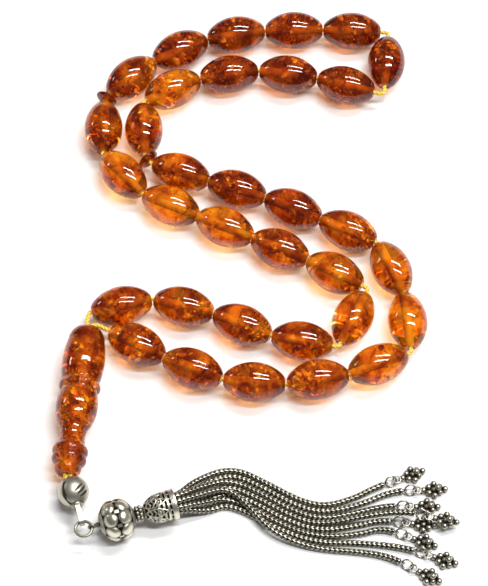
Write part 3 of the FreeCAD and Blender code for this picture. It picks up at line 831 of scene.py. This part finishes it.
def filigree(angle, height, base):
    """Wire teardrops with a ringed dot in each, and a row of holes between two beaded wires at the mouth;
    raised wires are painted lighter, and the sunken ground and the holes painted dark as shade.
    """
    step = FULL_TURN / DROPS_ROUND
    near = ((angle + step / 2) % step - step / 2) / (step / 2)
    if height > RIM or height < TIP_BAND:
        return 0.0, 0.85
    if LOWER_BEAD < height < HOLES or height > UPPER_BEAD:
        return 0.08, 0.9
    if height >= HOLES:
        wave = abs(((angle * HOLES_ROUND / FULL_TURN) % 1) - 0.5) * 2
        hole = math.hypot(wave * 0.7, (height - 6.38) / 0.42)
        return (SUNKEN, 0.02) if hole < 0.62 else (RAISED, 0.75)
    share = (height - TIP_BAND) / 5.2
    width = 0.82 * math.sin(math.pi * min(1.0, share**0.8)) ** 0.8
    if abs(abs(near) - width) < 0.11:
        return 0.1, 0.95
    if abs(near) < width:
        ring = math.hypot(near * base * 0.39, height - 3.7)
        if ring < 0.3:
            return 0.12, 1.0
        if 0.5 < ring < 0.75:
            return 0.08, 0.9
        stripe = math.cos(height * 7.0 + abs(near) * 5)
        return (0.02, 0.7) if stripe > 0.2 else (-0.08, 0.08)
    dot = math.cos(height * 5.2)
    return (RAISED, 0.7) if dot > 0.1 else (SUNKEN, 0.02)


def inner_wall(height):
    """The circle inside the cone's wall at a height, down to the bore through its tip."""
    height = max(CONE_WALL, height)
    if height < CONE_WALL + 0.05:
        return SILVER_BORE, height
    return max(SILVER_BORE, cone_radius(min(height, 7.0)) - CONE_WALL), height


points, painted_lights = worked(CONE_ROWS, CONE_COLUMNS, cone_radius, filigree, 0.0, CONE_LENGTH)
for row in range(CONE_ROWS - 1, 0, -1):
    points += circle(*inner_wall(CONE_LENGTH * row / (CONE_ROWS - 1)), CONE_COLUMNS)
points += circle(SILVER_BORE, 0.0, CONE_COLUMNS)
# The inside of the cone is painted dark, as shade.
painted_lights += [INNER_SHADE] * (CONE_ROWS * CONE_COLUMNS)
faces = grid_faces(CONE_ROWS * 2, CONE_COLUMNS, closed_rows=True)
cone = build("cone_silver", points, faces, [silver_worked], [("painted_light", "POINT", painted_lights)])
cone.matrix_world = aim(link_centre + pin * CONE_DISTANCE, pin)
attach(cone, "filigree_cone")
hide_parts("filigree_cone")


# ---------------------------------------------------------------- chains and clusters

# Where the bundle's middle line passes, and its heading there.
BUNDLE = [
    ((-9.9, -56.6), 26.0),
    ((-3.6, -53.6), -10.0),
    ((3.6, -57.0), -38.0),
    ((10.2, -61.1), -33.0),
    ((17.6, -64.3), -14.0),
]
# Each chain's place in the cone's mouth, its sideways offset and height along the bundle, and a last point.
CHAINS = {
    1: ((1.72, 0.0), [(4.1, 2.4), (5.1, 0.8), (4.5, 0.8), (4.6, 0.8), (5.4, 0.8)], (26.0, -57.0, 0.8)),
    2: ((1.07, -1.34), [(2.7, 1.2), (3.4, 0.8), (3.0, 0.8), (3.0, 0.8), (3.6, 0.8)], (28.0, -58.5, 0.8)),
    3: ((1.07, 1.34), [(1.4, 3.7), (1.7, 0.8), (1.5, 0.8), (1.5, 0.8), (1.9, 0.8)], (27.0, -60.6, 0.8)),
    4: ((0.0, 0.0), [(0.0, 2.2), (0.0, 0.8), (0.0, 0.8), (0.0, 0.8), (0.35, 0.8)], (29.0, -62.1, 2.4)),
    8: ((-0.38, -1.68), [(-1.3, 0.9), (-1.7, 0.8), (-1.5, 0.8), (-1.5, 0.8), (-1.2, 0.8)], (26.5, -64.2, 0.8)),
    5: ((-1.55, 0.75), [(-2.6, 3.2), (-3.4, 0.8), (-3.0, 0.8), (-3.0, 0.8), (-2.7, 0.8)], (27.0, -66.4, 0.8)),
    6: ((-1.55, -0.75), [(-4.1, 0.9), (-5.1, 0.8), (-4.5, 0.8), (-4.5, 0.8), (-4.2, 0.8)], (28.0, -68.5, 0.8)),
    7: ((-0.38, 1.68), [(-0.9, 4.6), (-1.2, 2.35), (-3.6, 2.4), (-6.4, 2.2), (-5.8, 0.8)], (28.0, -70.8, 0.8)),
}
# Each cluster's middle, heading and height.
CLUSTERS = {
    1: ((40.3, -50.6), 22.0, 0.8),
    2: ((45.3, -54.6), 4.0, 0.8),
    3: ((43.4, -59.1), 0.0, 0.8),
    4: ((47.6, -63.4), -12.0, 2.5),
    5: ((42.5, -68.3), -20.0, 0.8),
    6: ((47.1, -72.9), -18.0, 0.8),
    7: ((43.3, -77.0), -28.0, 0.8),
    8: ((42.4, -63.7), -5.0, 0.8),
}
CHAIN_START = (20.0, 23.4)
CHAIN_END = ((10.6, 0.3), (7.6, 0.5))
CHAIN_CORE, WEAVE_DEPTH, WEAVE_PITCH = 0.58, 0.17, 1.15
JUMP_TILT, JUMP_RISE, LINK_BACK = 55.0, 0.55, 7.05
LOOP_RADIUS, LOOP_WIRE, LOOP_ROWS, LOOP_COLUMNS = 0.52, 0.12, 24, 10


def foxtail(angles, station):
    """Woven loops: rows of chevrons whose points run along the middle of each face, with painted shade in the
    grooves between the loops.
    """
    quarter = math.pi / 2
    across = np.abs((angles + quarter / 2) % quarter / (quarter / 2) - 1)
    phase = (station / WEAVE_PITCH - across * 0.85) % 1.0
    loop = np.clip(np.sin(math.pi * phase) * 1.3 - 0.22, 0, 1)
    painted_light = loop * np.clip(0.25 + across * 4, 0, 1) * np.clip(0.3 + (1 - across) * 4, 0, 1)
    return CHAIN_CORE + WEAVE_DEPTH * painted_light, painted_light


def link_loop(number, centre, heading):
    """The end loop of a chain, round the jump ring's wire."""
    tilt = math.radians(JUMP_TILT)
    across = left_of(heading) * math.cos(tilt) + Vector((0, 0, math.sin(tilt)))
    along = direction(heading)
    rise = along.cross(across)
    points = []
    for row in range(LOOP_ROWS):
        turn = FULL_TURN * row / LOOP_ROWS
        out = along * math.cos(turn) + rise * math.sin(turn)
        for column in range(LOOP_COLUMNS):
            angle = FULL_TURN * column / LOOP_COLUMNS
            reach = LOOP_RADIUS + LOOP_WIRE * math.cos(angle)
            points.append(centre + out * reach + across * LOOP_WIRE * math.sin(angle))
    faces = grid_faces(LOOP_ROWS, LOOP_COLUMNS, closed_rows=True)
    return build(f"chain_{number}_end_loop", points, faces, [silver_wire])


for number in sorted(CHAINS):
    (sideways, up), steps, onward = CHAINS[number]
    offset = left_of(PIN_HEADING) * sideways + Vector((0, 0, up))
    route = [link_centre + pin * distance + offset for distance in CHAIN_START]
    for ((x, y), heading), (sideways, height) in zip(BUNDLE, steps):
        route.append(layout(x, y, height) + left_of(heading) * sideways)
    route.append(layout(*onward))
    (x, y), heading, height = CLUSTERS[number]
    for behind, rise in CHAIN_END:
        route.append(layout(x, y, height + rise) - direction(heading) * behind)
    line, stations = smooth_line(route, 0.16)
    chain = sleeve(f"chain_{number}_woven", line, stations, foxtail, 24, silver_chain)
    link_place = layout(x, y, height + JUMP_RISE) - direction(heading) * LINK_BACK
    loop = link_loop(number, link_place, heading)
    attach(loop, "tassel")
    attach(chain, "tassel")
    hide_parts(f"chain_{number}")
    repaint(f"cluster_{number}", silver_grain)
